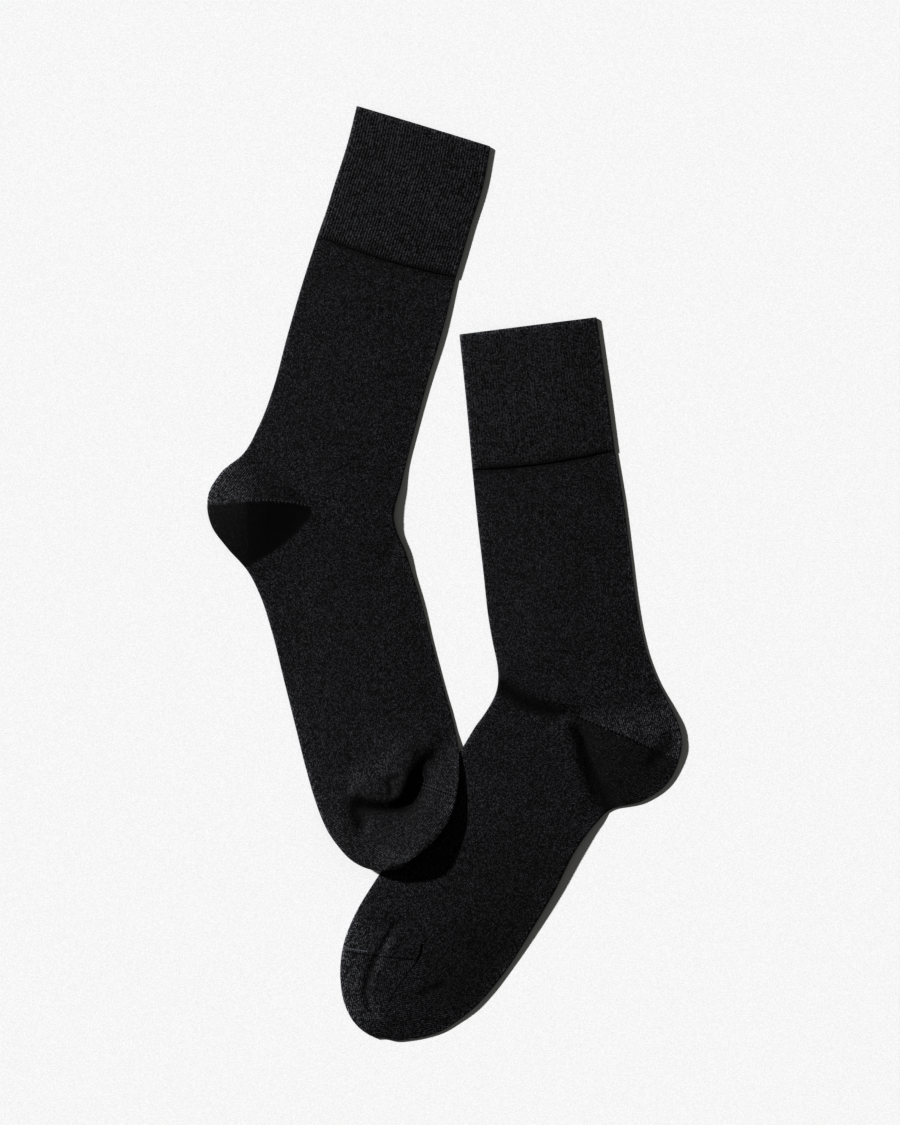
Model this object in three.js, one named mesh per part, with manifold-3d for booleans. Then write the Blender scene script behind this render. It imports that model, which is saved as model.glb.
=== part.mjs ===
// A pair of fine-knit dress socks lying flat, in millimetres with +Z up.
// The toe of the over sock rests on the foot of the under sock.
// Each sock is a flattened tube: a ribbed, turned cuff, a plain leg and foot, a heel pouch and a toe pouch.
import * as THREE from 'three';
import { mergeVertices } from 'three/addons/utils/BufferGeometryUtils.js';
import Module from 'manifold-3d';

const wasm = await Module();
wasm.setup();

// Cloth
const WALL = 1.0;            // one layer of plain knit
const CUFF_WALL = 1.4;       // the cuff is turned, so two finer layers
const PANEL_GAP = 0.3;       // least air between the upper and the lower panel
const SEAM_GAP = 0.3;        // air between two pieces that are knitted or linked together

// Cuff
const RIBS_ACROSS = 50;      // ribs on one face of the cuff
const RIB_RISE = 0.3;
const CUFF_BOW = 2.3;        // the seam line sags towards the toe at mid-width
const RIM_INSET = 0.45;      // the turned edge is rounded by this much on both faces

// Facets round one section
const EDGE_STEPS = 4;        // round each folded edge
const PANEL_STEPS = 18;      // across the upper panel
const UNDER_STEPS = 6;       // across the flat underside

// The over sock lies on the under sock from this line on. The line is the under sock's instep edge.
const CROSSING = { point: [9.3, -101.5], intoUnderSock: [0.84, -0.542] };
const CROSSING_RISE = 3.25;  // underside of the over sock above the floor, where it rests on the other one
const CROSSING_REACH = 45;   // it comes up from the floor over this length
const TOE_CURL = 1.5;        // the free end of the toe stands off the under sock by this much
const TOE_CURL_REACH = 15;

// Sections of the two cuffs, from the turned edge to the seam
const CUFF_EDGE_RISE = 3.2;
const CUFF_MID_RISE = 3.4;
const overCuffSections = [
  { name: 'top edge', back: [-52.0, 270.5], front: [25.5, 247.0] },
  { name: 'upper quarter', back: [-57.3, 249.0], front: [21.5, 225.0] },
  { name: 'middle', back: [-65.2, 224.0], front: [14.0, 200.5] },
  { name: 'lower quarter', back: [-69.5, 210.0], front: [10.0, 186.5] },
  { name: 'seam', back: [-74.6, 195.5], front: [5.5, 171.5] },
];
const underCuffSections = [
  { name: 'top edge', back: [87.0, 148.0], front: [7.5, 138.0] },
  { name: 'middle', back: [92.5, 109.5], front: [11.5, 99.0] },
  { name: 'seam', back: [97.5, 71.5], front: [15.0, 60.0] },
];

// Sections of the two tubes from the cuff seam to the toe.
// back is the calf, heel or sole edge and front the shin or instep edge, in plan.
// rises are the heights of the cloth above the surface it lies on, at the back edge, the middle and the front edge.
const overTubeSections = [
  { name: 'seam', back: [-74.6, 195.5], front: [5.5, 171.5], rises: [2.6, 2.9, 2.6] },
  { name: 'calf', back: [-84.3, 165.0], front: [-2.5, 139.5], rises: [2.6, 2.9, 2.6] },
  { name: 'mid leg', back: [-92.6, 136.0], front: [-11.0, 110.5], rises: [2.6, 2.9, 2.6] },
  { name: 'low leg', back: [-100.4, 107.0], front: [-18.5, 82.5], rises: [2.6, 3.0, 2.7] },
  { name: 'ankle top', back: [-109.0, 84.5], front: [-23.8, 61.5], rises: [2.7, 3.4, 2.9] },
  { name: 'heel top', back: [-118.2, 68.5], front: [-26.7, 49.0], rises: [3.0, 3.8, 3.1] },
  { name: 'upper heel', back: [-130.6, 58.0], front: [-28.7, 42.5], rises: [3.3, 4.2, 3.2] },
  { name: 'heel', back: [-137.6, 46.5], front: [-29.9, 37.5], rises: [3.6, 4.4, 3.2] },
  { name: 'heel tip', back: [-138.6, 38.0], front: [-30.4, 33.0], rises: [3.7, 4.4, 3.2] },
  { name: 'under heel', back: [-136.3, 27.5], front: [-29.7, 27.5], rises: [3.5, 4.2, 3.1] },
  { name: 'lower heel', back: [-127.6, 15.0], front: [-27.3, 20.5], rises: [3.2, 3.8, 3.0] },
  { name: 'heel end', back: [-115.8, 1.7], front: [-23.7, 12.5], rises: [2.9, 3.4, 2.9] },
  { name: 'arch', back: [-108.2, -12.8], front: [-20.0, 0.5], rises: [2.7, 3.1, 2.8] },
  { name: 'mid foot', back: [-101.4, -33.5], front: [-14.8, -16.2], rises: [2.6, 3.0, 2.7] },
  { name: 'fore foot', back: [-94.4, -61.5], front: [-8.7, -40.0], rises: [2.6, 3.0, 2.7] },
  { name: 'ball', back: [-87.5, -89.3], front: [-1.4, -67.3], rises: [2.6, 3.1, 2.9] },
  { name: 'toe start', back: [-81.4, -113.7], front: [4.6, -89.5], rises: [2.8, 3.8, 3.4] },
  { name: 'toe', back: [-76.4, -131.0], front: [7.3, -105.0], rises: [3.0, 4.8, 4.2] },
  { name: 'toe side', back: [-72.5, -141.5], front: [7.5, -116.6], rises: [3.3, 5.0, 4.9] },
  { name: 'toe curve', back: [-68.3, -150.2], front: [6.4, -127.6], rises: [3.6, 5.0, 5.4] },
  { name: 'toe curve', back: [-62.4, -158.4], front: [4.1, -138.0], rises: [4.0, 5.0, 5.7] },
  { name: 'toe curve', back: [-56.3, -165.0], front: [-0.3, -146.7], rises: [4.4, 5.0, 5.8] },
  { name: 'toe curve', back: [-49.5, -169.4], front: [-6.4, -154.3], rises: [4.6, 5.1, 5.8] },
  { name: 'toe end', back: [-43.3, -171.5], front: [-13.3, -160.7], rises: [4.6, 5.0, 5.5] },
  { name: 'toe end', back: [-36.5, -172.0], front: [-20.5, -166.0], rises: [4.2, 4.4, 4.8] },
];
const underTubeSections = [
  { name: 'seam', back: [97.5, 71.5], front: [15.0, 60.0], rises: [2.6, 2.9, 2.6] },
  { name: 'calf', back: [102.7, 41.0], front: [18.0, 30.0], rises: [2.6, 2.9, 2.6] },
  { name: 'mid leg', back: [106.7, 10.0], front: [21.5, -0.5], rises: [2.6, 2.9, 2.6] },
  { name: 'ankle top', back: [110.4, -18.5], front: [24.4, -26.5], rises: [2.7, 3.2, 2.7] },
  { name: 'heel top', back: [113.6, -36.0], front: [27.0, -41.2], rises: [2.8, 3.6, 2.9] },
  { name: 'upper heel', back: [117.3, -49.5], front: [29.0, -50.5], rises: [3.0, 4.0, 3.1] },
  { name: 'upper heel', back: [122.5, -63.0], front: [29.9, -57.0], rises: [3.2, 4.4, 3.2] },
  { name: 'heel', back: [129.3, -76.5], front: [30.0, -62.0], rises: [3.3, 4.6, 3.2] },
  { name: 'heel', back: [134.8, -88.5], front: [29.6, -66.0], rises: [3.4, 4.6, 3.1] },
  { name: 'heel tip', back: [136.5, -99.0], front: [28.6, -70.0], rises: [3.5, 4.6, 3.1] },
  { name: 'under heel', back: [134.2, -110.5], front: [26.8, -74.0], rises: [3.4, 4.4, 3.1] },
  { name: 'lower heel', back: [128.2, -122.0], front: [24.3, -78.5], rises: [3.3, 4.2, 3.0] },
  { name: 'lower heel', back: [114.5, -132.0], front: [21.0, -83.5], rises: [3.1, 3.9, 2.9] },
  { name: 'heel end', back: [96.0, -137.0], front: [16.6, -89.5], rises: [2.9, 3.5, 2.8] },
  { name: 'arch', back: [87.0, -145.0], front: [9.3, -101.5], rises: [2.7, 2.9, 2.6] },
  { name: 'mid foot', back: [74.8, -161.2], front: [-1.2, -118.3], rises: [2.7, 2.8, 2.6] },
  { name: 'fore foot', back: [63.2, -183.9], front: [-13.9, -137.5], rises: [2.7, 2.8, 2.6] },
  { name: 'fore foot', back: [49.9, -206.5], front: [-27.8, -158.9], rises: [2.7, 2.9, 2.6] },
  { name: 'ball', back: [36.5, -228.0], front: [-42.4, -180.3], rises: [2.8, 3.2, 2.7] },
  { name: 'toe start', back: [24.4, -243.6], front: [-53.6, -199.3], rises: [2.9, 3.8, 2.9] },
  { name: 'toe', back: [15.1, -253.2], front: [-59.2, -213.6], rises: [3.0, 4.4, 3.1] },
  { name: 'toe side', back: [5.8, -260.4], front: [-61.4, -226.2], rises: [3.2, 4.6, 3.3] },
  { name: 'toe curve', back: [-2.8, -265.8], front: [-61.4, -237.4], rises: [3.4, 4.6, 3.5] },
  { name: 'toe curve', back: [-12.8, -269.1], front: [-59.6, -248.2], rises: [3.5, 4.4, 3.6] },
  { name: 'toe curve', back: [-21.5, -270.7], front: [-56.8, -255.4], rises: [3.5, 4.2, 3.6] },
  { name: 'toe end', back: [-29.6, -271.3], front: [-53.0, -261.3], rises: [3.5, 4.0, 3.5] },
  { name: 'toe end', back: [-36.0, -269.9], front: [-48.5, -265.6], rises: [3.2, 3.4, 3.2] },
];

// The closed end of each toe, past the last section
const overTip = { point: [-28.2, -171.0], halfWidth: 2.5, rise: 1.8 };
const underTip = { point: [-42.8, -268.8], halfWidth: 2.0, rise: 1.4 };

// Folds of the upper panels: a soft ridge (positive rise) or trough along a path, spread to each side of it
const overFolds = [
  {
    name: 'heel gore ridge', rise: 1.6, spread: 9,
    path: [[-133.0, 40.0], [-116.0, 40.8], [-100.0, 40.0], [-82.0, 38.5]],
  },
  {
    name: 'toe trough', rise: -2.6, spread: 5,
    path: [[-8.5, -99.0], [-14.5, -107.5], [-20.0, -119.0], [-23.5, -131.5], [-36.0, -134.0], [-53.0, -130.0]],
  },
  {
    name: 'toe dent', rise: -1.4, spread: 4,
    path: [[-53.0, -130.0], [-50.0, -138.0], [-46.5, -147.0]],
  },
];
const underFolds = [
  {
    name: 'ankle crease', rise: -1.3, spread: 4,
    path: [[33.0, -66.0], [42.0, -73.5], [55.0, -79.5], [70.0, -82.5]],
  },
  {
    name: 'heel gore ridge', rise: 0.8, spread: 10,
    path: [[80.0, -85.0], [96.0, -92.5], [113.0, -101.0], [128.0, -107.5]],
  },
  {
    name: 'heel and foot crease', rise: -1.2, spread: 4,
    path: [[77.0, -90.0], [81.5, -108.0], [86.5, -122.5], [92.0, -133.5]],
  },
  {
    name: 'toe crease', rise: -1.2, spread: 4,
    path: [[-31.5, -214.5], [-42.0, -226.0], [-47.0, -241.0], [-40.0, -256.0]],
  },
];

// Plan outlines of the pouches. The first point is where the gore starts, on the side of the foot.
// From there the line runs to one fold of the cloth, round the outside, and back from the other fold.
const overHeelOutline = [
  [-78.3, 37.8], [-91.5, 52.5], [-106.0, 61.5], [-118.0, 68.0], [-136.0, 78.0],
  [-160.0, 70.0], [-160.0, 0.0], [-128.0, -9.0], [-114.5, 2.5], [-92.0, 19.5],
];
const underHeelOutline = [
  [73.5, -83.0], [84.0, -106.0], [88.5, -122.0], [95.0, -137.5], [98.0, -152.0],
  [150.0, -150.0], [160.0, -65.0], [140.0, -65.5], [127.0, -70.0], [100.0, -75.5],
];
const overToeOutline = [
  [-31.3, -123.5], [-67.3, -146.5], [-82.0, -155.0], [-82.0, -185.0],
  [30.0, -185.0], [30.0, -133.0], [6.4, -129.3], [-3.5, -127.0], [-13.3, -123.8],
];
const underToeOutline = [
  [-16.2, -224.0], [-39.5, -222.5], [-60.5, -218.0], [-80.0, -213.5], [-80.0, -285.0],
  [20.0, -285.0], [5.8, -261.6],
];

// Materials
const cuffCloth = new THREE.MeshStandardMaterial({ color: 0x141518, roughness: 0.95, metalness: 0 });
const plainCloth = new THREE.MeshStandardMaterial({ color: 0x121317, roughness: 0.92, metalness: 0 });
const pouchCloth = new THREE.MeshStandardMaterial({ color: 0x16171b, roughness: 0.9, metalness: 0 });

function smooth(t) {
  const clamped = THREE.MathUtils.clamp(t, 0, 1);
  return clamped * clamped * (3 - 2 * clamped);
}

// Height of the surface that the over sock lies on: the floor, then the foot of the under sock
function overSockFloor(x, y) {
  const { point, intoUnderSock } = CROSSING;
  const past = (x - point[0]) * intoUnderSock[0] + (y - point[1]) * intoUnderSock[1];
  const climb = CROSSING_RISE * smooth((past + CROSSING_REACH) / (CROSSING_REACH - 2));
  return climb + TOE_CURL * smooth(past / TOE_CURL_REACH);
}

function levelFloor() {
  return 0;
}

// Nearest place on a path of straight stretches: its distance, and how far along the path it is (0 to 1)
function nearestOnPath(path, x, y) {
  let best = { distance: Infinity, along: 0 };
  for (let i = 0; i + 1 < path.length; i += 1) {
    const [ax, ay] = path[i];
    const [bx, by] = path[i + 1];
    const dx = bx - ax;
    const dy = by - ay;
    const t = THREE.MathUtils.clamp(((x - ax) * dx + (y - ay) * dy) / (dx * dx + dy * dy), 0, 1);
    const distance = Math.hypot(x - ax - t * dx, y - ay - t * dy);
    if (distance < best.distance) {
      best = { distance, along: (i + t) / (path.length - 1) };
    }
  }
  return best;
}

// Sum of the folds at a place. Each one fades out at both ends of its path.
function foldHeight(folds, x, y) {
  let height = 0;
  for (const fold of folds) {
    const near = nearestOnPath(fold.path, x, y);
    const endFade = smooth(Math.min(near.along, 1 - near.along) * 5 + 0.3);
    height += fold.rise * endFade * Math.exp(-((near.distance / fold.spread) ** 2));
  }
  return height;
}

// Height across a panel: through the back, middle and front rises, as one parabola
function panelRise(rises, t) {
  const [back, middle, front] = rises;
  return back * (1 - t) * (1 - 2 * t) + middle * 4 * t * (1 - t) + front * t * (2 * t - 1);
}

// The points round one section, from the back edge over the top to the front edge and back below.
// inset is how far the ring lies inside the outer face of the cloth. Every ring has as many points.
function sectionProfile(section, look, inner, inset) {
  const width = Math.hypot(section.front[0] - section.back[0], section.front[1] - section.back[1]);
  const backRadius = section.rises[0] / 2;
  const frontRadius = section.rises[2] / 2;
  const backStart = backRadius + (inner ? section.backInset : 0);
  const frontStart = width - frontRadius - (inner ? section.frontInset : 0);
  const points = [];
  for (let i = 0; i < EDGE_STEPS; i += 1) {
    const angle = Math.PI * (i / EDGE_STEPS - 0.5);
    const radius = backRadius - inset;
    points.push({
      across: backStart - radius * Math.cos(angle),
      height: backRadius + radius * Math.sin(angle),
    });
  }
  for (let i = 0; i <= look.panelSteps; i += 1) {
    const across = THREE.MathUtils.lerp(backStart, frontStart, i / look.panelSteps);
    const t = (across - backRadius) / (width - backRadius - frontRadius);
    const rib = inner || i % 2 === 0 ? 0 : look.ribRise;
    points.push({ across, height: panelRise(section.rises, t) + rib, onPanel: true });
  }
  for (let i = 1; i <= EDGE_STEPS; i += 1) {
    const angle = Math.PI * (0.5 - i / EDGE_STEPS);
    const radius = frontRadius - inset;
    points.push({
      across: frontStart + radius * Math.cos(angle),
      height: frontRadius + radius * Math.sin(angle),
    });
  }
  for (let i = 1; i < UNDER_STEPS; i += 1) {
    points.push({ across: THREE.MathUtils.lerp(frontStart, backStart, i / UNDER_STEPS), height: inset });
  }
  return { width, points };
}

// One ring of points in space. squeeze narrows the wall from both faces, and lift raises the ring off its floor.
function sectionRing(section, look, inner) {
  const { squeeze = 0, lift = 0, bow = 0 } = section;
  const inset = inner ? look.wall - squeeze : squeeze;
  const { width, points } = sectionProfile(section, look, inner, inset);
  const acrossX = (section.front[0] - section.back[0]) / width;
  const acrossY = (section.front[1] - section.back[1]) / width;
  const leastHeight = 2 * look.wall + PANEL_GAP;
  return points.map(({ across, height, onPanel }) => {
    const t = across / width;
    const sag = bow * 4 * t * (1 - t);
    const x = section.back[0] + acrossX * across + section.toToe[0] * sag;
    const y = section.back[1] + acrossY * across + section.toToe[1] * sag;
    const level = onPanel ? Math.max(height + foldHeight(look.folds, x, y), leastHeight) - inset : height;
    return [x, y, level + lift + look.floor(x, y)];
  });
}

// Unit vector from one plan point to another
function heading(from, to) {
  const length = Math.hypot(to[0] - from[0], to[1] - from[1]);
  return [(to[0] - from[0]) / length, (to[1] - from[1]) / length];
}

// Adds to each section its direction along the sock and how far the inner ring stays in from each edge.
// Where an edge slants across the section, as at the toe, the wall takes more of the section's width.
function finishSections(sections, wall) {
  return sections.map((section, i) => {
    const before = sections[Math.max(i - 1, 0)];
    const after = sections[Math.min(i + 1, sections.length - 1)];
    const across = heading(section.back, section.front);
    const insets = ['back', 'front'].map((edge) => {
      const along = heading(before[edge], after[edge]);
      const sine = Math.abs(across[0] * along[1] - across[1] * along[0]);
      return wall / Math.max(sine, 0.35) - wall;
    });
    const middleBefore = before.back.map((value, k) => (value + before.front[k]) / 2);
    const middleAfter = after.back.map((value, k) => (value + after.front[k]) / 2);
    return {
      ...section,
      toToe: heading(middleBefore, middleAfter),
      backInset: insets[0],
      frontInset: insets[1],
    };
  });
}

// The section moved along the sock, towards the toe
function slide(section, distance) {
  const move = ([x, y]) => [x + section.toToe[0] * distance, y + section.toToe[1] * distance];
  return { ...section, back: move(section.back), front: move(section.front) };
}

// Joins rings into a surface. Each ring has the same number of points.
function skin(triangles, starts, count, facingOut) {
  for (let r = 0; r + 1 < starts.length; r += 1) {
    for (let i = 0; i < count; i += 1) {
      const j = (i + 1) % count;
      const a = starts[r] + i;
      const b = starts[r] + j;
      const c = starts[r + 1] + j;
      const d = starts[r + 1] + i;
      triangles.push(...(facingOut ? [a, c, b, a, d, c] : [a, b, c, a, c, d]));
    }
  }
}

// Closes a ring with a fan of triangles to one middle point
function fan(triangles, start, count, middle, facingOut) {
  for (let i = 0; i < count; i += 1) {
    const j = (i + 1) % count;
    triangles.push(...(facingOut ? [start + j, start + i, middle] : [start + i, start + j, middle]));
  }
}

function ringMiddle(ring) {
  const sum = ring.reduce((total, point) => total.map((value, k) => value + point[k]), [0, 0, 0]);
  return sum.map((value) => value / ring.length);
}

// A closed wall from outer and inner sections. With a tip, the far end is closed as a pouch,
// and without one it is open like the near end. mirrored is for a sock whose heel is on the right.
function wallGeometry(outerSections, innerSections, look, closed, mirrored) {
  const points = [];
  const triangles = [];
  const addRing = (section, inner) => {
    const start = points.length;
    points.push(...sectionRing(section, look, inner));
    return start;
  };
  const outerStarts = outerSections.map((section) => addRing(section, false));
  const count = points.length / outerSections.length;
  const innerStarts = innerSections.map((section) => addRing(section, true));
  skin(triangles, outerStarts, count, true);
  skin(triangles, innerStarts, count, false);
  skin(triangles, [innerStarts[0], outerStarts[0]], count, true);
  if (closed) {
    for (const [start, facingOut] of [[outerStarts.at(-1), true], [innerStarts.at(-1), false]]) {
      points.push(ringMiddle(points.slice(start, start + count)));
      fan(triangles, start, count, points.length - 1, facingOut);
    }
  } else {
    skin(triangles, [outerStarts.at(-1), innerStarts.at(-1)], count, true);
  }
  if (mirrored) {
    for (let i = 0; i < triangles.length; i += 3) {
      [triangles[i], triangles[i + 1]] = [triangles[i + 1], triangles[i]];
    }
  }
  const geometry = new THREE.BufferGeometry();
  geometry.setAttribute('position', new THREE.Float32BufferAttribute(points.flat(), 3));
  geometry.setIndex(triangles);
  return geometry;
}

function cuffGeometry(rows, folds, floor, mirrored) {
  const sections = finishSections(rows.map((row, i) => ({
    ...row,
    rises: [CUFF_EDGE_RISE, CUFF_MID_RISE, CUFF_EDGE_RISE],
    bow: CUFF_BOW * (i / (rows.length - 1)),
  })), CUFF_WALL);
  const look = { wall: CUFF_WALL, panelSteps: 2 * RIBS_ACROSS, ribRise: RIB_RISE, folds, floor };
  const turnedEdge = { ...sections[0], squeeze: RIM_INSET };
  const belowEdge = slide(sections[0], RIM_INSET);
  const seamEnd = slide(sections.at(-1), -SEAM_GAP / 2);
  const all = [turnedEdge, belowEdge, ...sections.slice(1, -1), seamEnd];
  return wallGeometry(all, all, look, false, mirrored);
}

function tubeGeometry(rows, tip, folds, floor, mirrored) {
  const sections = finishSections(rows.map((row, i) => ({ ...row, bow: i === 0 ? CUFF_BOW : 0 })), WALL);
  const look = { wall: WALL, panelSteps: PANEL_STEPS, ribRise: 0, folds, floor };
  sections[0] = slide(sections[0], SEAM_GAP / 2);
  const last = sections.at(-1);
  const across = heading(last.back, last.front);
  const tipEdge = (side) => tip.point.map((value, k) => value + side * across[k] * tip.halfWidth);
  const tipSection = {
    ...last,
    back: tipEdge(-1),
    front: tipEdge(1),
    rises: [tip.rise, tip.rise, tip.rise],
    lift: (last.rises[1] - tip.rise) / 2,
  };
  return wallGeometry([...sections, tipSection], sections.slice(0, -1), look, true, mirrored);
}

// A plan outline moved outwards by a distance (inwards if negative), corner by corner
function offsetOutline(outline, distance) {
  const turn = THREE.ShapeUtils.area(outline.map(([x, y]) => new THREE.Vector2(x, y))) > 0 ? 1 : -1;
  return outline.map((corner, i) => {
    const before = heading(outline.at(i - 1), corner);
    const after = heading(corner, outline[(i + 1) % outline.length]);
    const normalBefore = [before[1] * turn, -before[0] * turn];
    const normalAfter = [after[1] * turn, -after[0] * turn];
    const share = 1 + normalBefore[0] * normalAfter[0] + normalBefore[1] * normalAfter[1];
    return corner.map((value, k) => value + (distance * (normalBefore[k] + normalAfter[k])) / share);
  });
}

// An upright cutter through the whole height of the cloth
function cutterGeometry(outline) {
  const shape = new THREE.Shape(outline.map(([x, y]) => new THREE.Vector2(x, y)));
  const below = 5;
  const height = 30;
  const geometry = new THREE.ExtrudeGeometry(shape, { depth: height, bevelEnabled: false });
  geometry.translate(0, 0, -below);
  return geometry;
}

function toSolid(geometry) {
  const bare = geometry.clone();
  bare.deleteAttribute('normal');
  bare.deleteAttribute('uv');
  const merged = mergeVertices(bare, 1e-4);
  return new wasm.Manifold(new wasm.Mesh({
    numProp: 3,
    vertProperties: new Float32Array(merged.attributes.position.array),
    triVerts: new Uint32Array(merged.index.array),
  }));
}

function toGeometry(solid) {
  const mesh = solid.getMesh();
  const geometry = new THREE.BufferGeometry();
  geometry.setAttribute('position', new THREE.BufferAttribute(mesh.vertProperties, 3));
  geometry.setIndex(new THREE.BufferAttribute(mesh.triVerts, 1));
  return geometry;
}

// The named meshes of one sock
function makeSock(spec) {
  const { name, floor, folds, mirrored } = spec;
  const tube = toSolid(tubeGeometry(spec.tubeSections, spec.tip, folds, floor, mirrored));
  const cutter = (outline, distance) => toSolid(cutterGeometry(offsetOutline(outline, distance)));
  const half = SEAM_GAP / 2;
  const heel = tube.intersect(cutter(spec.heelOutline, -half));
  const toe = tube.intersect(cutter(spec.toeOutline, -half));
  const legFoot = tube.subtract(cutter(spec.heelOutline, half)).subtract(cutter(spec.toeOutline, half));
  const pieces = [
    ['cuff', cuffGeometry(spec.cuffSections, [], floor, mirrored), cuffCloth],
    ['leg_foot', toGeometry(legFoot), plainCloth],
    ['heel', toGeometry(heel), pouchCloth],
    ['toe', toGeometry(toe), pouchCloth],
  ];
  const sock = new THREE.Group();
  for (const [piece, geometry, material] of pieces) {
    const mesh = new THREE.Mesh(geometry, material);
    mesh.name = `${name}_${piece}`;
    sock.add(mesh);
  }
  return sock;
}

const pair = new THREE.Group();
pair.add(makeSock({
  name: 'over_sock',
  cuffSections: overCuffSections,
  tubeSections: overTubeSections,
  tip: overTip,
  folds: overFolds,
  floor: overSockFloor,
  heelOutline: overHeelOutline,
  toeOutline: overToeOutline,
  mirrored: false,
}));
pair.add(makeSock({
  name: 'under_sock',
  cuffSections: underCuffSections,
  tubeSections: underTubeSections,
  tip: underTip,
  folds: underFolds,
  floor: levelFloor,
  heelOutline: underHeelOutline,
  toeOutline: underToeOutline,
  mirrored: true,
}));

export default pair;
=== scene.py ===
import math
from collections import namedtuple

import bmesh
import bpy
from mathutils import Matrix, Vector, noise
from mathutils.bvhtree import BVHTree


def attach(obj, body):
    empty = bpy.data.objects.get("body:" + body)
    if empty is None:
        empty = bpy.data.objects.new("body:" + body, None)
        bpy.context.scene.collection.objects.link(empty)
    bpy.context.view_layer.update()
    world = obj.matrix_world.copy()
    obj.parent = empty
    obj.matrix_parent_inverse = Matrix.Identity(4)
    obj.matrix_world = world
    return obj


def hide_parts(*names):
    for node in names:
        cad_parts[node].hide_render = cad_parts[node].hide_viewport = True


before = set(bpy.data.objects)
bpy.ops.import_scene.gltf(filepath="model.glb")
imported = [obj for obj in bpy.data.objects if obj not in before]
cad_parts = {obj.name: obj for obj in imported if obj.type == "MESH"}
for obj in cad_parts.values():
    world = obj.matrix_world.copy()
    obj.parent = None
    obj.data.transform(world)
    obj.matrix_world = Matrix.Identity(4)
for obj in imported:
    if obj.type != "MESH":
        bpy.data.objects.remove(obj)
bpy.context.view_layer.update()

# A pair of fine-knit dress socks lying flat, seen from straight above.
# Tables and sizes are in millimetres, as in the part's source. MM turns them into metres.
MM = 0.001

# Cloth sizes
WALL = 0.5              # one layer of fine plain knit
CUFF_WALL = 0.9         # the cuff is turned, so two layers
PANEL_GAP = 0.1         # least air between the upper and the lower panel
CUFF_BOW = 2.3          # the seam under the cuff sags towards the toe at mid-width
CUFF_RISES = (2.1, 3.2, 2.1)
RIBS_ACROSS = 50        # ribs on one face of the cuff
RIB_RISE = 0.16
RIB_START = 5.0         # the ribs come up over this length from the turned edge
RIM_ROUND = 0.5         # radius of the turned edge
PAINTED_EDGE_SHEEN = 1.5        # painted sheen: the knit's colour is made lighter round the rounded edges of the flattened tube
PAINTED_EDGE_SHEEN_REACH = 1.5
HEM_LAP = 0.35          # the cuff's lower edge laps over the leg by this much

# Knit gauges, in metres from one stitch to the next
PLAIN_WALE = 0.00092
PLAIN_COURSE = 0.00066
POUCH_WALE = 0.00116
POUCH_COURSE = 0.00072
CUFF_WALE = 0.00162
CUFF_COURSE = 0.00082

# Mesh steps round one section and along the sock
EDGE_STEPS = 7
PANEL_STEPS = 84
UNDER_STEPS = 18
ROW_STEP = 1.45
RIB_STEPS = 6
CUFF_UNDER_STEPS = 40
CUFF_ROW_STEP = 3.0

Section = namedtuple("Section", "name back front rises")
Fold = namedtuple("Fold", "name rise left_spread right_spread path")

OVER_CUFF = (
    Section("top edge", (-52.0, 270.5), (25.5, 247.0), CUFF_RISES),
    Section("upper quarter", (-57.3, 249.0), (21.5, 225.0), CUFF_RISES),
    Section("middle", (-65.2, 224.0), (14.0, 200.5), CUFF_RISES),
    Section("lower quarter", (-69.5, 210.0), (10.0, 186.5), CUFF_RISES),
    Section("seam", (-74.6, 195.5), (5.5, 171.5), CUFF_RISES),
)
UNDER_CUFF = (
    Section("top edge", (87.0, 148.0), (7.5, 138.0), CUFF_RISES),
    Section("middle", (92.5, 109.5), (11.5, 99.0), CUFF_RISES),
    Section("seam", (97.5, 71.5), (15.0, 60.0), CUFF_RISES),
)

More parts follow.
